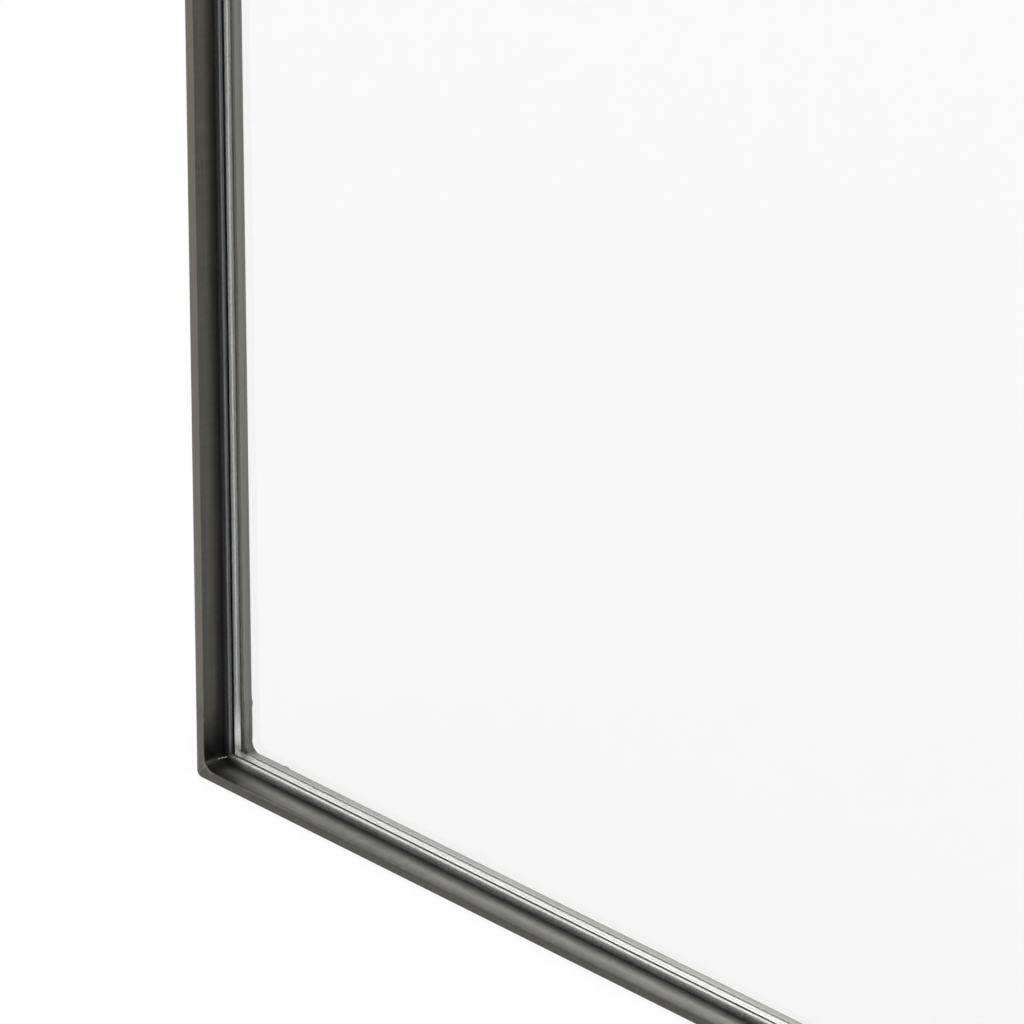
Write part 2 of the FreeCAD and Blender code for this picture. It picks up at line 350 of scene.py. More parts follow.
def corner_group():
    """A mask that is 1 within a reach of a corner of the frame, with a ragged edge."""
    group, inlet, outlet = new_group(
        "near a corner",
        [("Reach", "value", 28 * MM), ("Fade", "value", 6 * MM), ("Ragged", "value", 4 * MM)],
        [("Mask", "value")])
    given = inlet.outputs
    farther = calc(group, "MAXIMUM", *insets(group))
    ragged = calc(group, "MULTIPLY_ADD", mottle(group, 90, 2), given["Ragged"], farther)
    outer = calc(group, "ADD", given["Reach"], given["Fade"])
    feed(group, outlet, {"Mask": ramp(group, ragged, given["Reach"], outer, 1, 0,
                                      interpolation_type="SMOOTHSTEP")})
    return group


def band_group():
    """Masks by place: how far in from the outline a point is, and how deep it lies."""
    group, inlet, outlet = new_group(
        "inset and depth",
        [("Rise From", "value", 0), ("Rise To", "value", MM), ("Fall From", "value", 10 * MM),
         ("Fall To", "value", 11 * MM), ("Deep From", "value", 0), ("Deep To", "value", MM)],
        [("Inset Band", "value"), ("Deep", "value")])
    given = inlet.outputs
    inset = calc(group, "MINIMUM", *insets(group))
    depth = add(group, "ShaderNodeSeparateXYZ", {0: object_place(group)}).outputs["Y"]
    rise = ramp(group, inset, given["Rise From"], given["Rise To"])
    fall = ramp(group, inset, given["Fall From"], given["Fall To"], 1, 0)
    feed(group, outlet, {"Inset Band": calc(group, "MULTIPLY", rise, fall),
                         "Deep": ramp(group, depth, given["Deep From"], given["Deep To"])})
    return group


STREAKS = streak_group()
NEAR_CORNER = corner_group()
BANDS = band_group()
print("groups:", ", ".join(g.name for g in (STREAKS, NEAR_CORNER, BANDS)))

# %% Placing the effects
def placed(tree, group, output, values):
    """Places a group in a material and gives one of its masks."""
    return add(tree, "ShaderNodeGroup", values, node_tree=group).outputs[output]


def streaks(tree, scales, detail, low, high):
    """The streaks, by their scales along X, Y and Z in waves per metre."""
    return placed(tree, STREAKS, "Mask", {"Stretch": scales, "Detail": detail, "Low": low,
                                          "High": high})


def stretched(along, across_scale, along_scale):
    """Noise scales with one of their own along a bar."""
    scales = [across_scale] * 3
    scales[along] = along_scale
    return scales


def near_corner(tree, reach, fade, ragged):
    """The zone round each corner of the frame."""
    return placed(tree, NEAR_CORNER, "Mask", {"Reach": reach, "Fade": fade, "Ragged": ragged})


def inset_band(tree, rise, fall):
    """A band all round the frame, by the two places where it begins and where it ends."""
    return placed(tree, BANDS, "Inset Band", {"Rise From": rise[0], "Rise To": rise[1],
                                              "Fall From": fall[0], "Fall To": fall[1]})


def deeper(tree, start, end):
    """All that lies deeper than a place: 0 at its start, 1 from its end on."""
    return placed(tree, BANDS, "Deep", {"Deep From": start, "Deep To": end})


# %% [markdown]
# ## Dark steel for the outer bars
# The bars are drawn steel, darkened and waxed: a satin metal of a warm dark grey, with streaks
# along each bar, cloudy patches a few centimetres long, and a browner, duller zone at each
# corner, where the weld was ground. Upright and level bars need the streaks turned, so one
# function makes the finish for either direction. The two finishes are also lit and shaded
# copies of one steel: the level bars are painted lighter inside, for the light from above on
# their upward faces, and darker on the front, and the upright bars the other way round.
# Inside the recess, painted shade darkens the front lip of the level bars, the foot of each
# wall next to the ledge and the walls near each corner.

# %% Frame steel
ALONG_X, ALONG_Z = 0, 2
BROWNED = (0.100, 0.093, 0.086)
FLECK = (0.24, 0.235, 0.22)
# Painted shade: the first colour darkens the front lip of the recess walls, and the black darkens
# the recess where shade falls; on the tray the black also marks dirt in the joint.
LIP_SHADE = (0.055, 0.055, 0.050)
SHADE_AND_JOINT_BLACK = (0.010, 0.010, 0.010)
BRUSH_SHARE = 0.35
FRONT_SHARE = 0.75
BROWNED_SHARE = 0.5
FLECK_SHARE = 0.4
BROWNED_REACH, BROWNED_FADE, BROWNED_RAGGED = 28 * MM, 6 * MM, 4 * MM
CORNER_SHADE_RAGGED = 6 * MM
PAST_LEDGE = (bar * 3, bar * 4)
HAIRLINE = 0.03 * MM


def frame_steel(name, along, dark, light, front, lip_share, groove_from, groove_to,
                groove_share, worn_share, corner_shade_reach, corner_shade_fade, corner_shade_share):
    """Satin dark steel with its streaks along one axis, and painted shade in its recess."""
    material, tree, shader = new_material(name, 1.0, 0.42, dark)
    streak = streaks(tree, stretched(along, 700, 9), 5, 0.3, 0.7)
    patch = streaks(tree, stretched(along, 120, 14), 3, 0.32, 0.68)
    brush = streaks(tree, stretched(along, 60, 600), 3, 0.4, 0.75)
    speck = streaks(tree, (900, 900, 900), 2, 0.62, 0.75)
    ground = near_corner(tree, BROWNED_REACH, BROWNED_FADE, BROWNED_RAGGED)
    # Painted shade on the recess walls near each corner.
    burnt = near_corner(tree, corner_shade_reach, corner_shade_fade, CORNER_SHADE_RAGGED)
    inner_wall = inset_band(tree, (bar - 0.6 * MM, bar - 0.3 * MM), PAST_LEDGE)
    inner_edge = inset_band(tree, (bar - 0.45 * MM, bar - 0.25 * MM), PAST_LEDGE)
    behind_face = deeper(tree, front_y + 0.3 * MM, front_y + 0.6 * MM)
    behind_edge = deeper(tree, front_y + 0.35 * MM, front_y + 0.5 * MM)
    behind_lip = deeper(tree, front_y + 0.5 * MM, front_y + 4.5 * MM)
    groove = deeper(tree, ledge_y - groove_from, ledge_y - groove_to)
    face = opposite(tree, behind_face)
    recess = both_masks(tree, inner_wall, behind_face)
    lip = both_masks(tree, opposite(tree, behind_lip), recess)
    worn = both_masks(tree, inner_edge, opposite(tree, behind_edge))
    shade = two_tone(tree, weighed(tree, streak, 0.45, patch, 0.55), dark, light)
    # The lip, the groove by the ledge and the corner zone are painted shade; the front colour is
    # a painted light level of its own.
    shade = tints(tree, shade, (
        (brush, light, BRUSH_SHARE),
        (lip, LIP_SHADE, lip_share),
        (face, front, FRONT_SHARE),
        (both_masks(tree, face, ground), BROWNED, BROWNED_SHARE),
        (both_masks(tree, face, speck), FLECK, FLECK_SHARE),
        (worn, FLECK, worn_share),
        (both_masks(tree, recess, burnt), SHADE_AND_JOINT_BLACK, corner_shade_share),
        (both_masks(tree, recess, groove), SHADE_AND_JOINT_BLACK, groove_share)))
    feed(tree, shader, {"Base Color": shade, "Roughness": ramp(tree, patch, 0, 1, 0.36, 0.5),
                        "Normal": relief(tree, streak, 0.25, HAIRLINE)})
    return material


# Painted light: the level bars' lighter inside and darker front, against the uprights' darker
# inside and lighter front, stand in for how the light falls on each.
stile_steel = frame_steel(
    "stile steel", ALONG_Z, dark=(0.094, 0.092, 0.080), light=(0.145, 0.142, 0.124),
    front=(0.156, 0.147, 0.124), lip_share=0.05, groove_from=3.0 * MM, groove_to=0,
    groove_share=0.3, worn_share=0.25, corner_shade_reach=5 * MM, corner_shade_fade=26 * MM,
    corner_shade_share=0.8)
rail_steel = frame_steel(
    "rail steel", ALONG_X, dark=(0.154, 0.154, 0.141), light=(0.250, 0.249, 0.230),
    front=(0.046, 0.043, 0.040), lip_share=0.7, groove_from=3.1 * MM, groove_to=0.5 * MM,
    groove_share=0.8, worn_share=0.08, corner_shade_reach=8 * MM, corner_shade_fade=6 * MM,
    corner_shade_share=0.95)
print("frame steels:", stile_steel.name, "and", rail_steel.name)

# %% [markdown]
# ## The outer frame
# The four bars are made as one ring first, because the corner radii and the worn edge then run
# round the whole frame without a break, as they do after welding and grinding. The ring is cut
# at the mitres afterwards, so that each bar is a piece of its own again. Near each corner the
# grinder has taken more off the inner edge, for some 25 mm and a little deeper where it began.

# %% Outer bars
CORNER_OUTER = 2.5 * MM
CORNER_INNER = 4.0 * MM
ARRIS = 0.45 * MM
GROUND_REACH = 26 * MM
GROUND_FADE = 3 * MM
GROUND_GROWTH = 0.7
NOTCH_GROWTH = 0.9
NOTCH_SHARE = 0.6
GRINDING_WAVES = 300
GRINDING_SHARE = 0.4
ARRIS_ZONE = 1.1 * ARRIS
PAST_RADIUS = 2.1 * bar
FIRST_CUT = 2.2 * bar
FINE_STEP = 1.5 * MM
COARSE_STEP = 12 * MM


def outer_frame():
    """The four outer bars as one rounded ring."""
    bm = frame_ring([(0, front_y), (bar, front_y), (bar, back_y), (0, back_y)])
    outer = [e for e in bm.edges if depth_run(e) > bar
             and abs(abs(e.verts[0].co.x) - half_width) < bar / 2]
    bevel(bm, outer, CORNER_OUTER, segments=10)
    inner = [e for e in bm.edges if depth_run(e) > bar
             and abs(abs(e.verts[0].co.x) - half_width + bar) < bar / 8
             and abs(abs(e.verts[0].co.z - height / 2) - height / 2 + bar) < bar / 8]
    bevel(bm, inner, CORNER_INNER, segments=12)
    rims = [e for e in bm.edges if depth_run(e) < MM / 100
            and e.calc_face_angle(0) > math.radians(60)]
    bevel(bm, rims, ARRIS, segments=3)
    return bm


def slice_across(bm, axis, places):
    """Cuts a mesh across one axis, so that its long faces have points to move."""
    normal = Vector((0, 0, 0))
    normal[axis] = 1
    for place in places:
        bmesh.ops.bisect_plane(bm, geom=bm.verts[:] + bm.edges[:] + bm.faces[:],
                               plane_co=normal * place, plane_no=normal, dist=MM / 1000)


def wear_ground_edge(bm):
    """Rounds the inner front edge more near the corners, where the weld was ground flush."""
    for vert in bm.verts:
        side = half_width - abs(vert.co.x)
        end = height / 2 - abs(vert.co.z - height / 2)
        run = max(side, end)
        inward = min(side, end) - bar
        depth = vert.co.y - front_y
        if depth > ARRIS_ZONE or not -ARRIS_ZONE <= inward <= MM / 100 or run < PAST_RADIUS:
            continue
        share = min(1, max(0, (GROUND_REACH - run) / GROUND_FADE))
        notch = max(0, 1 - abs(run - GROUND_REACH + GROUND_FADE) / (NOTCH_SHARE * GROUND_FADE))
        ripple = 1 + GRINDING_SHARE * noise.noise(vert.co * GRINDING_WAVES)
        grown = GROUND_GROWTH * share * ripple + NOTCH_GROWTH * notch
        vert.co.y += depth * grown
        if side < end:
            vert.co.x -= math.copysign(inward * grown, vert.co.x)
        else:
            vert.co.z -= math.copysign(inward * grown, vert.co.z - height / 2)


def cut_bar(ring, side):
    """One bar of a ring, cut at the two mitres that bound it."""
    bm = ring.copy()
    ends = {"left": (-1, 0), "right": (1, 0), "bottom": (0, -1), "top": (0, 1)}[side]
    facing = Vector((ends[0], 0, ends[1]))
    for turn in (-1, 1):
        along = Vector((-facing.z, 0, facing.x)) * turn
        outward = facing + along
        corner = Vector((outward.x * half_width, 0, height / 2 + outward.z * height / 2))
        bmesh.ops.bisect_plane(bm, geom=bm.verts[:] + bm.edges[:] + bm.faces[:], plane_co=corner,
                               plane_no=(along - facing).normalized(), clear_outer=True,
                               dist=MM / 1000)
        rim = [e for e in bm.edges if e.is_boundary]
        bmesh.ops.holes_fill(bm, edges=rim, sides=0)
    return bm


ring = outer_frame()
cuts = [GROUND_REACH - GROUND_FADE * i / 4 for i in range(9)]
cuts += [FIRST_CUT + FINE_STEP * i for i in range(6)]
cuts += [GROUND_REACH + GROUND_FADE + COARSE_STEP * (i + 1) for i in range(4)]
for axis, reach, centre in ((ALONG_X, half_width, 0), (ALONG_Z, height / 2, height / 2)):
    slice_across(ring, axis, [centre + sign * (reach - s) for s in cuts for sign in (-1, 1)])
wear_ground_edge(ring)
for side, kind, steel in (("left", "stile", stile_steel), ("right", "stile", stile_steel),
                          ("top", "rail", rail_steel), ("bottom", "rail", rail_steel)):
    node = "outer_" + side + "_" + kind
    finish_piece(side + "_" + kind + "_bar", cut_bar(ring, side), "mirror", steel,
                 [node], smooth_angle=35)
ring.free()

# %% [markdown]
# ## Satin steel for the inner edge
# The narrow ledge beside the glass is the edge of the steel tray that holds it. It wasn't
# darkened as much as the bars, and its rounded inside edge carries a painted highlight. The
# model's own shape is right, so it only gets a finish. The painted highlight, the dark band
# beside the joint with the bar, which is partly dirt and partly painted shade, and the painted
# shade in the gap beside the glass are all found by how far in from the outline a point is, so
# one group of masks serves them all.

# %% Tray steel
MILL_GREY = (0.080, 0.080, 0.081)
GLINT_SHARE = 0.75
TRAY_CORNER_SHADE_SHARE = 0.6
HIGHLIGHT_SHARE = 0.9
PIT_SHARE = 0.5
MILL_SHARE = 0.7
JOINT_SHARE = 0.7
TRAY_CORNER_SHADE_REACH, TRAY_CORNER_SHADE_FADE = 6 * MM, 14 * MM


def tray_steel(name, along, dark, light, edge_highlight, highlight_reach, highlight_end, joint_reach,
               recess_share):
    """Bare satin steel with painted highlights and shade, and some dirt in the joint."""
    material, tree, shader = new_material(name, 1.0, 0.38, dark)
    highlight_to = ledge_inset - highlight_end
    streak = streaks(tree, stretched(along, 900, 60), 5, 0.3, 0.7)
    glint = streaks(tree, (1200, 1200, 1200), 3, 0.5, 0.62)
    pits = streaks(tree, (1000, 1000, 1000), 2, 0.52, 0.66)
    burnt = near_corner(tree, TRAY_CORNER_SHADE_REACH, TRAY_CORNER_SHADE_FADE, CORNER_SHADE_RAGGED)
    edge = inset_band(tree, (ledge_inset - highlight_reach, highlight_to - 0.6 * MM),
                      (highlight_to - 0.2 * MM, highlight_to + 0.15 * MM))
    joint = inset_band(tree, (0, MM), (bar + 0.1 * MM, bar + joint_reach))
    recess = inset_band(tree, (highlight_to - 0.1 * MM, highlight_to + 0.2 * MM),
                        (ledge_inset + 0.5 * MM, ledge_inset + MM))
    behind = deeper(tree, ledge_y + 2 * MM, ledge_y + 3 * MM)
    ledge = opposite(tree, behind)
    # Painted light and shade: the glints and the line on the rounded edge are painted highlights;
    # the corner zone of the ledge and the gap beside the glass are painted shade; the band by the
    # joint is part dirt, part painted shade.
    shade = tints(tree, two_tone(tree, streak, dark, light), (
        (glint, light, GLINT_SHARE),
        (both_masks(tree, burnt, ledge), SHADE_AND_JOINT_BLACK, TRAY_CORNER_SHADE_SHARE),
        (both_masks(tree, edge, ledge), edge_highlight, HIGHLIGHT_SHARE),
        (both_masks(tree, pits, ledge), dark, PIT_SHARE),
        (behind, MILL_GREY, MILL_SHARE),
        (recess, SHADE_AND_JOINT_BLACK, recess_share),
        (joint, SHADE_AND_JOINT_BLACK, JOINT_SHARE)))
    feed(tree, shader, {"Base Color": shade, "Normal": relief(tree, streak, 0.3, HAIRLINE)})
    return material


# Painted light: the level tray steel is painted lighter than the upright one, with a brighter
# highlight, for the light from above.
upright_tray_steel = tray_steel(
    "upright tray steel", ALONG_Z, dark=(0.125, 0.130, 0.140), light=(0.24, 0.25, 0.265),
    edge_highlight=(0.17, 0.175, 0.165), highlight_reach=1.6 * MM, highlight_end=0.7 * MM,
    joint_reach=1.3 * MM, recess_share=0.6)
level_tray_steel = tray_steel(
    "level tray steel", ALONG_X, dark=(0.15, 0.15, 0.155), light=(0.42, 0.42, 0.43),
    edge_highlight=(0.40, 0.40, 0.39), highlight_reach=2.6 * MM, highlight_end=0.3 * MM,
    joint_reach=2.8 * MM, recess_share=0.55)
for side in ("left", "right"):
    dress("inner_" + side + "_angle", upright_tray_steel)
for side in ("top", "bottom"):
    dress("inner_" + side + "_angle", level_tray_steel)
print("ledge from", bar / MM, "to", ledge_inset / MM, "mm from the outside")

# %% [markdown]
# ## The glass
# The pane is real clear glass with thickness, because the double line at its edge comes from
# there: the ground edge is seen once through the front and once more in the silver. The model's
# pane has one surface finish only, so it is remade as a block with seamed edges and two
# finishes: clear on the two large faces, and the matt white of ground glass round the rim. The
# level edges of the rim are painted lighter than the upright ones, for the light from above. On
# the upright edges the front part of the rim is darker, a painted line of light follows its
# back, and painted light whitens it near the corners.

# %% Glass pane
GLASS_SEAM = 0.4 * MM
GLASS_BACK_SEAM = 0.08 * MM
HAZE = 0.01
RIM_FRONT_GREY = (0.10, 0.10, 0.10)
PAINTED_RIM_LIGHT = (0.97, 0.97, 0.95)
RIM_FRONT_SHARE = 0.8
CORNER_LIGHT_SHARE = 0.85
SEAM_LIGHT_SHARE = 0.9
LEVEL_SMOOTHNESS = 0.4
CORNER_LIGHT_REACH, CORNER_LIGHT_FADE, CORNER_LIGHT_RAGGED = 18 * MM, 16 * MM, 6 * MM


def clear_glass():
    """Clear float glass with a trace of haze on its surface."""
    material, tree, shader = new_material("clear glass", 0.0, 0.0, (0.995, 0.995, 0.995))
    feed(tree, shader, {"Transmission Weight": 1, "IOR": 1.52,
                        "Roughness": ramp(tree, mottle(tree, 40, 2), 0.55, 0.9, 0, HAZE)})
    return material


def ground_glass():
    """The matt rim: painted lighter on the level edges, darker near the front of the upright
    ones.
    """
    material, tree, shader = new_material("ground glass", 0.45, 0.5, (0.6, 0.62, 0.6))
    grain = ramp(tree, mottle(tree, 700, 4, 0.7), 0.35, 0.65)
    facing = add(tree, "ShaderNodeNewGeometry").outputs["True Normal"]
    tilt = add(tree, "ShaderNodeSeparateXYZ", {0: facing}).outputs["Z"]
    is_level = calc(tree, "GREATER_THAN", calc(tree, "ABSOLUTE", tilt), 0.5)
    past_rim_front = deeper(tree, glass_low.y + 0.7 * MM, glass_low.y + 1.2 * MM)
    seam = deeper(tree, glass_high.y - 0.75 * MM, glass_high.y - 0.4 * MM)
    lit_corner = near_corner(tree, CORNER_LIGHT_REACH, CORNER_LIGHT_FADE, CORNER_LIGHT_RAGGED)
    # Painted light: the upright rim is darker than the level one, and whiter near the corners and
    # along its back seam. Its front part is darker.
    upright = tints(tree, two_tone(tree, grain, (0.36, 0.37, 0.35), (0.54, 0.55, 0.53)), (
        (opposite(tree, past_rim_front), RIM_FRONT_GREY, RIM_FRONT_SHARE),
        (both_masks(tree, lit_corner, past_rim_front), PAINTED_RIM_LIGHT, CORNER_LIGHT_SHARE),
        (seam, PAINTED_RIM_LIGHT, SEAM_LIGHT_SHARE)))
    level = two_tone(tree, grain, (0.70, 0.71, 0.69), (0.88, 0.88, 0.87))
    shade = add(tree, "ShaderNodeMix", {"Factor": is_level, "A": upright, "B": level},
                data_type="RGBA").outputs["Result"]
    smoothness = add(tree, "ShaderNodeMix",
                     {"Factor": is_level, "A": calc(tree, "MAXIMUM", lit_corner, seam),
                      "B": LEVEL_SMOOTHNESS}, data_type="FLOAT").outputs["Result"]
    feed(tree, shader, {"Base Color": shade,
                        "Metallic": ramp(tree, smoothness, 0, 1, 0.45, 0.9),
                        "Roughness": ramp(tree, smoothness, 0, 1, 0.5, 0.25)})
    return material


def block(low, high):
    """A box between two corners."""
    bm = bmesh.new()
    bmesh.ops.create_cube(bm, size=1)
    bmesh.ops.scale(bm, vec=high - low, verts=bm.verts)
    bmesh.ops.translate(bm, vec=(low + high) / 2, verts=bm.verts)
    return bm


# The pane was cut a little narrow. It rests low in the tray and has slid to the right.
PANE_SHIFT = Vector((0.4, 0, -0.1)) * MM
PANE_TRIM = Vector((0.5, 0, 0)) * MM
pane_low = glass_low + PANE_SHIFT + PANE_TRIM
pane_high = glass_high + PANE_SHIFT
bm = block(pane_low, pane_high)
long_edges = [e for e in bm.edges if depth_run(e) < MM / 100]
front_edges = [e for e in long_edges if e.verts[0].co.y < glass_low.y + GLASS_SEAM]
bevel(bm, front_edges, GLASS_SEAM, segments=1)
back_edges = [e for e in bm.edges if min(v.co.y for v in e.verts) > glass_high.y - GLASS_SEAM]
bevel(bm, back_edges, GLASS_BACK_SEAM, segments=1)
for face in bm.faces:
    face.material_index = 0 if abs(face.normal.y) > 0.9 else 1
pane = finish_piece("glass_pane", bm, "mirror", clear_glass(), ["mirror_glass"])
pane.data.materials.append(ground_glass())

# %% [markdown]
# ## Silver and its paint
# The silver is a film on the back of the glass with grey paint behind it. Its front is set a
# hair inside the pane, so that light meets the silver before it can leave the glass. It runs
# out to the rim, because a bare strip there would show as a dark line beside the ground edge.
# One material serves both sides: a point's depth says whether it is silver or paint.

# %% Silver film
FILM_INTO_GLASS = 0.02 * MM
SILVER = (0.93, 0.93, 0.93)
PAINT_DARK, PAINT_LIGHT = (0.20, 0.21, 0.22), (0.28, 0.29, 0.30)
PAINT_ROUGHNESS = 0.6


def silvering():
    """Bright silver in front, matt grey paint behind."""
    material, tree, shader = new_material("silver and paint", 1.0, 0.0, SILVER)
    depth = add(tree, "ShaderNodeSeparateXYZ", {0: object_place(tree)}).outputs["Y"]
    paint = calc(tree, "GREATER_THAN", depth, (silver_low.y + silver_high.y) / 2)
    grey = two_tone(tree, mottle(tree, 60, 3), PAINT_DARK, PAINT_LIGHT)
    shade = add(tree, "ShaderNodeMix", {"Factor": paint, "A": (*SILVER, 1), "B": grey},
                data_type="RGBA").outputs["Result"]
    feed(tree, shader, {"Base Color": shade, "Metallic": opposite(tree, paint),
                        "Roughness": calc(tree, "MULTIPLY", paint, PAINT_ROUGHNESS)})
    return material


film_low = Vector((pane_low.x, silver_low.y - FILM_INTO_GLASS, pane_low.z))
film_high = Vector((pane_high.x, silver_high.y, pane_high.z))
rim = Vector((GLASS_BACK_SEAM, 0, GLASS_BACK_SEAM))
finish_piece("silver_film", block(film_low + rim, film_high - rim), "mirror",
             silvering(), ["silver_coat"])

# %% [markdown]
# ## What the wall side shows
# Behind the glass are a fibreboard, foam tape and the screws. Fibreboard is a warm brown with
# darker and lighter flecks of a millimetre or so. The tape is a soft white foam. Both keep the
# model's shapes, which are plain blocks in reality too.

# %% Board and tape
GLOSS_SPREAD = 0.08


def flecked(name, metallic, roughness, dark, light, size, relief_depth, broad_scale=0.08):
    """A plain material with flecks of two colours and a fine relief."""
    material, tree, shader = new_material(name, metallic, roughness, light)
    fine = mottle(tree, 1 / size, 4, 0.65)
    broad = mottle(tree, broad_scale / size, 2)
    flecks = ramp(tree, weighed(tree, broad, 0.35, fine, 0.65), 0.35, 0.65)
    feed(tree, shader, {
        "Base Color": two_tone(tree, flecks, dark, light),
        "Roughness": ramp(tree, broad, 0, 1, roughness - GLOSS_SPREAD, roughness + GLOSS_SPREAD),
        "Normal": relief(tree, fine, 0.4, relief_depth)})
    return material


dress("backing_board", flecked("fibreboard", 0.0, 0.78, (0.22, 0.145, 0.085),
                               (0.37, 0.26, 0.165), 0.7 * MM, 0.05 * MM, 0.02))
dress("mounting_tape", flecked("foam tape", 0.0, 0.85, (0.62, 0.62, 0.60),
                               (0.78, 0.78, 0.76), 0.6 * MM, 0.1 * MM))

# %% [markdown]
# ## Pan-head screws
# Each screw is turned: half of its section is spun about the Y axis. The spin leaves the middle
# of the head open. A cross of twelve corners is bridged to that opening and pushed in with a
# little taper, which gives the recess for the screwdriver.

# %% Screws
HEAD_HEIGHT = 1.7 * MM
SHANK_SHARE = 0.51
DRIVE_SHARE = 0.5
DRIVE_DEPTH = 1.0 * MM
DRIVE_TAPER = 0.7
ARM_SHARE = 0.82
ARM_HALF_SHARE = 0.24
SEAT_SHARE = 0.97
DOME_RIM, DOME_FOOT, DOME_TOP = 0.12, 0.35, 0.97
CROSS_TOP = 0.99


def pan_screw(head_radius, length):
    """One screw with its head's seat at y = 0 and its point towards -Y."""
    shank = head_radius * SHANK_SHARE
    opening = head_radius * DRIVE_SHARE
    dome = [(head_radius * math.cos(a),
             HEAD_HEIGHT * (DOME_FOOT + (1 - DOME_FOOT) * math.sin(a)))
            for a in (math.radians(15 * i) for i in range(4))]
    section = [(0, -length), (shank, shank - length), (shank, 0), (head_radius * SEAT_SHARE, 0),
               (head_radius, HEAD_HEIGHT * DOME_RIM), *dome, (opening, HEAD_HEIGHT * DOME_TOP)]
    bm = turned(section, steps=24)
    rim = [e for e in bm.edges if e.is_boundary]
    arm = opening * ARM_SHARE
    half = opening * ARM_HALF_SHARE
    corners = []
    for turn in range(4):
        spin = Matrix.Rotation(math.radians(90 * turn), 2)
        corners += [spin @ Vector(point) for point in ((arm, half), (half, half), (half, arm))]
    verts = [bm.verts.new((x, HEAD_HEIGHT * CROSS_TOP, z)) for x, z in corners]
    cross = [bm.edges.new((verts[i - 1], verts[i])) for i in range(len(verts))]
    bmesh.ops.bridge_loops(bm, edges=rim + cross)
    low = extrude_loop(bm, cross)[1]
    bmesh.ops.translate(bm, vec=(0, -DRIVE_DEPTH, 0), verts=low)
    bmesh.ops.scale(bm, vec=(DRIVE_TAPER, 1, DRIVE_TAPER), verts=low)
    bmesh.ops.contextual_create(bm, geom=[e for e in bm.edges if e.is_boundary])
    bmesh.ops.recalc_face_normals(bm, faces=bm.faces)
    return bm


zinc = flecked("bright zinc", 1.0, 0.34, (0.50, 0.51, 0.52), (0.72, 0.73, 0.72), 0.5 * MM,
               0.004 * MM)
for node, turn_by in (("board_screws", 37), ("hanger_screws", 53)):
    group = bmesh.new()
    for i, (low, high) in enumerate(solid_boxes(node)):
        radius = (high.x - low.x) / 2
        seat = high.y - HEAD_HEIGHT
        place = Matrix.Translation(((low.x + high.x) / 2, seat, (low.z + high.z) / 2))
        turn = Matrix.Rotation(math.radians(turn_by * i), 4, "Y")
        put(group, pan_screw(radius, seat - low.y), place @ turn)
    finish_piece(node.replace("_screws", "_pan_screws"), group, "mirror", zinc,
                 [node], smooth_angle=35)

# %% [markdown]
# ## Ring hangers
# The strap is pressed steel and keeps the model's shape. The D ring is bent wire, so it is made
# the way a bender would: a circle is drawn along the straight side and then spun round each
# bend in turn, until it meets its own start. Each ring rides on its own body, because it swings
# in the curl of its strap.

# %% Rings
nickel = flecked("nickel plate", 1.0, 0.28, (0.50, 0.48, 0.44), (0.66, 0.64, 0.60), 1.5 * MM,
                 0.006 * MM)
for side in ("left", "right"):
    dress("hanger_strap_" + side, nickel)


def bent_ring(low, high):
    """A D ring of round wire that fills a box, its straight side at the top."""
    wire = (high.y - low.y) / 2
    bow = (high.x - low.x) / 2 - wire
    axis_z = high.z - wire
    bend = axis_z - low.z - wire - bow
    centre = Vector(((low.x + high.x) / 2, (low.y + high.y) / 2, axis_z))
    reach = bow - bend
    bm = bmesh.new()
    turn = Matrix.Rotation(math.radians(90), 4, "Y")
    start = Matrix.Translation(centre - Vector((reach, 0, 0))) @ turn
    bmesh.ops.create_circle(bm, cap_ends=False, segments=20, radius=wire, matrix=start)
    made = bmesh.ops.extrude_edge_only(bm, edges=bm.edges[:])["geom"]
    new_verts = [g for g in made if isinstance(g, bmesh.types.BMVert)]
    bmesh.ops.translate(bm, vec=(2 * reach, 0, 0), verts=new_verts)
    for offset, angle, steps in ((Vector((reach, 0, -bend)), 90, 8),
                                 (Vector((0, 0, -bend)), 180, 32),
                                 (Vector((-reach, 0, -bend)), 90, 8)):
        end = [g for g in made if isinstance(g, (bmesh.types.BMVert, bmesh.types.BMEdge))]
        end = [g for g in end if isinstance(g, bmesh.types.BMVert)
               or all(v in end for v in g.verts)]
        made = bmesh.ops.spin(bm, geom=end, cent=centre + offset, axis=(0, 1, 0),
                              dvec=(0, 0, 0), angle=math.radians(angle), steps=steps,
                              use_merge=False, use_normal_flip=False,
                              use_duplicate=False)["geom_last"]
    bmesh.ops.remove_doubles(bm, verts=bm.verts, dist=MM / 100)
    bmesh.ops.recalc_face_normals(bm, faces=bm.faces)
    return bm


for side in ("left", "right"):
    node = "hanger_ring_" + side
    finish_piece("ring_wire_" + side, bent_ring(*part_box(node)), "ring_" + side,
                 nickel, [node], smooth_angle=60)

# %% [markdown]
# ## Rubber bumpers
# A moulded bumper is a low dome with a flat top and a small flange where it is stuck on. It is
# turned from its half section like the screws, with the rounded edge given by a few points.

# %% Bumpers
FLANGE_SHARE = 0.14
SIDE_FOOT = 0.2
SIDE_SHARE = 0.94
ROUND_CENTRE = 0.62
ROUND_WIDTH = 0.30
ROUND_RISE = 0.38


def bumper(radius, thickness):
    """A moulded rubber bumper that stands on y = 0."""
    crown = [(radius * (ROUND_CENTRE + ROUND_WIDTH * math.cos(a)),
              thickness * (ROUND_CENTRE + ROUND_RISE * math.sin(a)))
             for a in (math.radians(15 * i) for i in range(7))]
    return turned([(0, 0), (radius, 0), (radius, thickness * FLANGE_SHARE),
                   (radius * SIDE_SHARE, thickness * SIDE_FOOT), *crown, (0, thickness)],
                  steps=40)


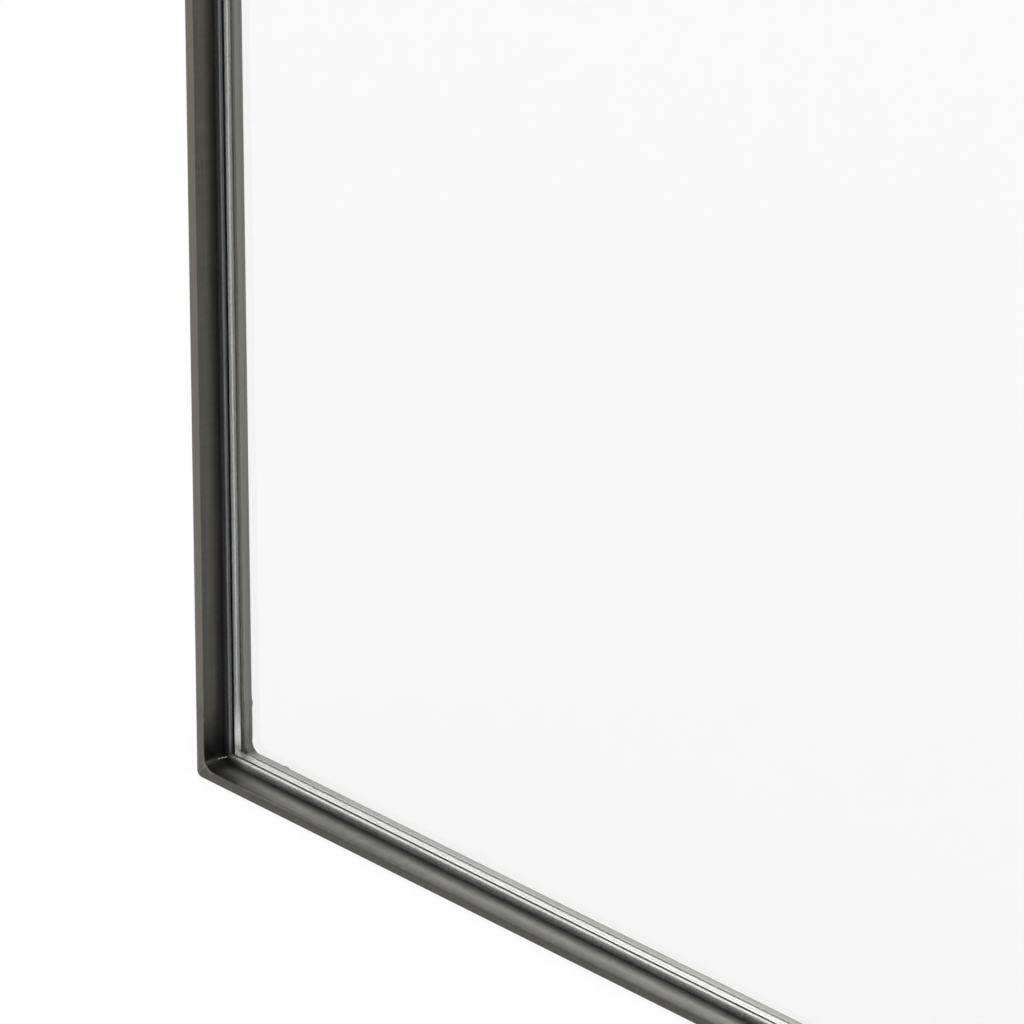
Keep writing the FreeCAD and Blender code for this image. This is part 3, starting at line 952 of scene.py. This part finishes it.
rubber = flecked("bumper rubber", 0.0, 0.62, (0.012, 0.012, 0.013), (0.03, 0.03, 0.032),
                 0.8 * MM, 0.02 * MM)
for place in ("top_left", "top_right", "bottom_left", "bottom_right"):
    low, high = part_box("wall_bumper_" + place)
    bm = bumper((high.x - low.x) / 2, high.y - low.y)
    bmesh.ops.translate(bm, verts=bm.verts,
                        vec=((low.x + high.x) / 2, low.y, (low.z + high.z) / 2))
    finish_piece("bumper_" + place, bm, "mirror", rubber,
                 ["wall_bumper_" + place], smooth_angle=50)

# %% [markdown]
# ## Welds
# A weld bead is a row of overlapping crescents, one for each dab of the torch. The beads on the
# back start as a round bar that is swelled and pinched along its length, and their lower half
# is cut off by the steel they sit on. The end of the corner weld that the grinder didn't reach
# is a thin wavy fin deep in each corner of the recess: a circle is extruded along it, and each
# ring is swelled, swayed and drawn out towards the corner. Only its crest is bright.

# %% Weld beads
WELD_RIPPLE = 1.5 * MM
RIPPLE_STEPS = 6
RIPPLE_SHARE = 0.14
WOBBLE_SHARE = 0.08
BEAD_END = 0.4
weld_metal = flecked("weld metal", 1.0, 0.32, (0.30, 0.29, 0.28), (0.60, 0.59, 0.57), 1.2 * MM,
                     0.03 * MM)


def ripple_bead(length, radius):
    """Half a bead along +X from the origin, with a ripple for every dab of the torch."""
    bm = bmesh.new()
    steps = max(RIPPLE_STEPS, round(length / WELD_RIPPLE * RIPPLE_STEPS))
    turn = Matrix.Rotation(math.radians(90), 4, "Y")
    bmesh.ops.create_circle(bm, cap_ends=True, segments=16, radius=radius * BEAD_END,
                            matrix=turn)
    loop = bm.edges[:]
    for i in range(1, steps + 1):
        along = i / steps
        loop, verts = extrude_loop(bm, loop)
        swell = math.sqrt(min(1, 2 * min(along, 1 - along) * length / radius))
        ripple = (along * length / WELD_RIPPLE) % 1
        size = (radius * (BEAD_END + (1 - BEAD_END) * swell)
                * (1 - RIPPLE_SHARE + RIPPLE_SHARE * ripple))
        for vert in verts:
            around = Vector((0, vert.co.y, vert.co.z)).normalized()
            wobble = 1 + WOBBLE_SHARE * noise.noise(Vector((along * length, *around.yz)) / radius)
            vert.co = around * min(radius, size * wobble)
            vert.co.x = length * along
    bmesh.ops.contextual_create(bm, geom=loop)
    bmesh.ops.bisect_plane(bm, geom=bm.verts[:] + bm.edges[:] + bm.faces[:],
                           plane_co=(0, 0, 0), plane_no=(0, -1, 0), clear_outer=True,
                           dist=MM / 1000)
    bmesh.ops.holes_fill(bm, edges=[e for e in bm.edges if e.is_boundary], sides=0)
    bmesh.ops.recalc_face_normals(bm, faces=bm.faces)
    return bm


beads = bmesh.new()
for low, high in solid_boxes("back_mitre_welds"):
    radius = high.y - low.y
    centre = (low + high) / 2
    spread = radius * math.sqrt(1 / 2)
    run = (high.x - low.x - 2 * spread) * math.sqrt(2)
    slope = math.copysign(45, -centre.x * (centre.z - height / 2))
    place = Matrix.Translation((centre.x, low.y, centre.z))
    turn = Matrix.Rotation(math.radians(slope), 4, "Y")
    put(beads, ripple_bead(run, radius), place @ turn @ Matrix.Translation((-run / 2, 0, 0)))
finish_piece("back_mitre_beads", beads, "mirror", weld_metal,
             ["back_mitre_welds"], smooth_angle=60)

# %% Corner fins
RIDGE_START = Vector((4.5, 6.1)) * MM
RIDGE_END = Vector((5.8, 6.35)) * MM
RIDGE_RADIUS = 0.3 * MM
RIDGE_STEPS = 26
RIDGE_SWAY = 0.12 * MM
SWAY_TURN = 19
RIDGE_SAG = 0.35 * MM
SAG_SHARE = 0.16
GIRTH_MEAN, GIRTH_CHANGE, GIRTH_WAVES = 0.7, 0.5, 6
TIP_GIRTH, TIP_SLOPE = 0.3, 5
FLANK_STRETCH = 5
CREST_DEPTH = 0.12 * MM


def weld_fin(toward_x, toward_z, front, back):
    """A thin wavy fin of weld: a bright crest over dark flanks that run into the corner."""
    bm = bmesh.new()
    bmesh.ops.create_circle(bm, cap_ends=True, segments=12, radius=RIDGE_RADIUS)
    bmesh.ops.rotate(bm, verts=bm.verts, cent=(0, 0, 0),
                     matrix=Matrix.Rotation(math.pi / 2, 3, "X"))
    into_corner = Vector((-1, 0, -1)).normalized()
    loop = bm.edges[:]
    rings = [bm.verts[:]]
    for i in range(RIDGE_STEPS):
        loop, verts = extrude_loop(bm, loop)
        rings.append(verts)
    bmesh.ops.contextual_create(bm, geom=loop)
    for i, verts in enumerate(rings):
        along = i / RIDGE_STEPS
        centre = RIDGE_START.lerp(RIDGE_END, along)
        y = front + (back - front) * along
        bulge = noise.noise(Vector((along * GIRTH_WAVES, centre.x, toward_x)))
        tip = min(1, TIP_GIRTH + TIP_SLOPE * along, TIP_GIRTH + TIP_SLOPE * (1 - along))
        girth = (GIRTH_MEAN + GIRTH_CHANGE * bulge) * tip
        sag = RIDGE_SAG * max(0, SAG_SHARE - along) / SAG_SHARE
        sway = RIDGE_SWAY * math.sin(along * SWAY_TURN) + sag
        for vert in verts:
            flat = Vector((vert.co.x, 0, vert.co.z)) * girth
            inner = flat.dot(into_corner)
            if inner > 0:
                flat += into_corner * inner * FLANK_STRETCH
            vert.co = Vector((toward_x * (centre.x + flat.x - half_width), y,
                              centre.y + flat.z - sway))
            if toward_z < 0:
                vert.co.z = height - vert.co.z
    bmesh.ops.recalc_face_normals(bm, faces=bm.faces)
    for face in bm.faces:
        median = face.calc_center_median()
        middle_in = half_width - abs(median.x)
        along = min(1, max(0, (median.y - front) / (back - front)))
        crest = RIDGE_START.lerp(RIDGE_END, along)
        face.material_index = 0 if middle_in > crest.x - CREST_DEPTH else 1
    return bm


fins = bmesh.new()
for low, high in solid_boxes("recess_corner_welds"):
    toward_x = 1 if low.x < 0 else -1
    toward_z = 1 if low.z < height / 2 else -1
    put(fins, weld_fin(toward_x, toward_z, low.y, high.y), Matrix.Identity(4))
welds = finish_piece("recess_corner_fins", fins, "mirror", weld_metal,
                     ["recess_corner_welds"], smooth_angle=60)
welds.data.materials.append(flecked("burnt weld", 1.0, 0.5, (0.02, 0.02, 0.02),
                                    (0.06, 0.058, 0.055), 0.8 * MM, 0.03 * MM))

# %% [markdown]
# ## Studio
# The mirror stands on a white floor in soft light from all round. For the camera, for metal and
# for glass the world is white and most of the floor's white is emission, so the lamps can stay
# at a plain level. The floor keeps a share of real shading, which holds the shadow, and it is
# a trace paler at the foot of the mirror than further out in front.

# %% Floor
FLOOR_HALF = 40.0
FLOOR_DROP = 0.1 * MM
PAINT = (0.8, 0.8, 0.8, 1)
SHADED_PAINT = (0.22, 0.22, 0.22, 1)
IN_FRONT, AT_FOOT = -0.7, -0.05
GLOW_IN_FRONT, GLOW_AT_FOOT = 0.735, 0.76


def pale_floor():
    """Plain paint for the light it sends on, and paler for all that looks at it."""
    material = bpy.data.materials.new("pale floor")
    material.use_nodes = True
    tree = material.node_tree
    tree.nodes.clear()
    rays = add(tree, "ShaderNodeLightPath").outputs
    seen = calc(tree, "MAXIMUM", rays["Is Camera Ray"], rays["Is Glossy Ray"])
    seen = calc(tree, "MAXIMUM", seen, rays["Is Transmission Ray"])
    depth = add(tree, "ShaderNodeSeparateXYZ", {0: object_place(tree)}).outputs["Y"]
    strength = ramp(tree, depth, IN_FRONT, AT_FOOT, GLOW_IN_FRONT, GLOW_AT_FOOT)
    plain = add(tree, "ShaderNodeBsdfDiffuse", {"Color": PAINT})
    shaded = add(tree, "ShaderNodeBsdfDiffuse", {"Color": SHADED_PAINT})
    glow = add(tree, "ShaderNodeEmission", {"Color": (1, 1, 1, 1), "Strength": strength})
    pale = add(tree, "ShaderNodeAddShader", {0: shaded.outputs[0], 1: glow.outputs[0]})
    either = add(tree, "ShaderNodeMixShader", {0: seen, 1: plain.outputs[0],
                                               2: pale.outputs[0]})
    add(tree, "ShaderNodeOutputMaterial", {"Surface": either.outputs[0]})
    return material


bm = bmesh.new()
bmesh.ops.create_grid(bm, x_segments=2, y_segments=2, size=FLOOR_HALF)
bmesh.ops.translate(bm, vec=(0, 0, -FLOOR_DROP), verts=bm.verts)
floor_mesh = bpy.data.meshes.new("floor")
bm.to_mesh(floor_mesh)
bm.free()
floor = bpy.data.objects.new("floor", floor_mesh)
floor_mesh.materials.append(pale_floor())
bpy.context.scene.collection.objects.link(floor)

# %% World and lamps
WORLD_SEEN = 1.0
WORLD_ON_MATT = 0.72
world = bpy.data.worlds.new("pale studio")
bpy.context.scene.world = world
world.use_nodes = True
tree = world.node_tree
rays = add(tree, "ShaderNodeLightPath").outputs
feed(tree, tree.nodes["Background"], {
    "Color": (1, 1, 1, 1),
    "Strength": ramp(tree, rays["Is Diffuse Ray"], 0, 1, WORLD_SEEN, WORLD_ON_MATT)})

for name, place, aim, size, power in (
        ("left softbox", (-1.45, -2.0, 1.65), (-0.2, 0, 0.1), 1.6, 32),
        ("right softbox", (1.5, -1.4, 0.7), (-0.2, 0, 0.2), 0.9, 6),
        ("overhead softbox", (0.2, -0.6, 2.8), (0, 0, 0.3), 1.6, 24)):
    light = bpy.data.lights.new(name, "AREA")
    light.shape = "SQUARE"
    light.size = size
    light.energy = power
    lamp = bpy.data.objects.new(name, light)
    bpy.context.scene.collection.objects.link(lamp)
    lamp.location = place
    lamp.rotation_mode = "QUATERNION"
    lamp.rotation_quaternion = (Vector(aim) - Vector(place)).to_track_quat("-Z", "Y")
    print(name, power, "W")

# %% [markdown]
# ## Camera
# The photograph is a close view of the lower left corner through a long lens. The camera looks
# from the right and from above, at angles found by matching the straight edges of the frame.
# The outer corner's pixel is the one anchor: the camera is set back from there along its own
# axis by a fitted distance, and moved sideways until the corner lands on that pixel.

# %% Camera
IMAGE_SIDE = 1024
SENSOR_WIDTH = 36
FOCAL_PIXELS = 20000
CAMERA_DISTANCE = 7.141
CAMERA_YAW = math.radians(49.40)
CAMERA_PITCH = math.radians(24.73)
CAMERA_ROLL = math.radians(-0.5)
CORNER_PIXEL = (196.8, 775.2)

forward = Vector((-math.sin(CAMERA_YAW) * math.cos(CAMERA_PITCH),
                  math.cos(CAMERA_YAW) * math.cos(CAMERA_PITCH),
                  -math.sin(CAMERA_PITCH)))
rightward = Vector((math.cos(CAMERA_YAW), math.sin(CAMERA_YAW), 0))
upward = rightward.cross(forward)
roll = Matrix.Rotation(CAMERA_ROLL, 3, -forward)
rightward = roll @ rightward
upward = roll @ upward
per_pixel = CAMERA_DISTANCE / FOCAL_PIXELS
corner = Vector((-half_width, front_y, 0))
eye = (corner - forward * CAMERA_DISTANCE
       - rightward * (CORNER_PIXEL[0] - IMAGE_SIDE / 2) * per_pixel
       + upward * (CORNER_PIXEL[1] - IMAGE_SIDE / 2) * per_pixel)
lens = bpy.data.cameras.new("camera")
lens.sensor_width = SENSOR_WIDTH
lens.lens = SENSOR_WIDTH * FOCAL_PIXELS / IMAGE_SIDE
lens.clip_start = 0.1
lens.clip_end = 200
camera = bpy.data.objects.new("camera", lens)
bpy.context.scene.collection.objects.link(camera)
camera.matrix_world = Matrix.Translation(eye) @ Matrix(
    (rightward, upward, -forward)).transposed().to_4x4()
bpy.context.scene.camera = camera
bpy.context.scene.view_settings.view_transform = "Standard"
print("camera at", tuple(eye))
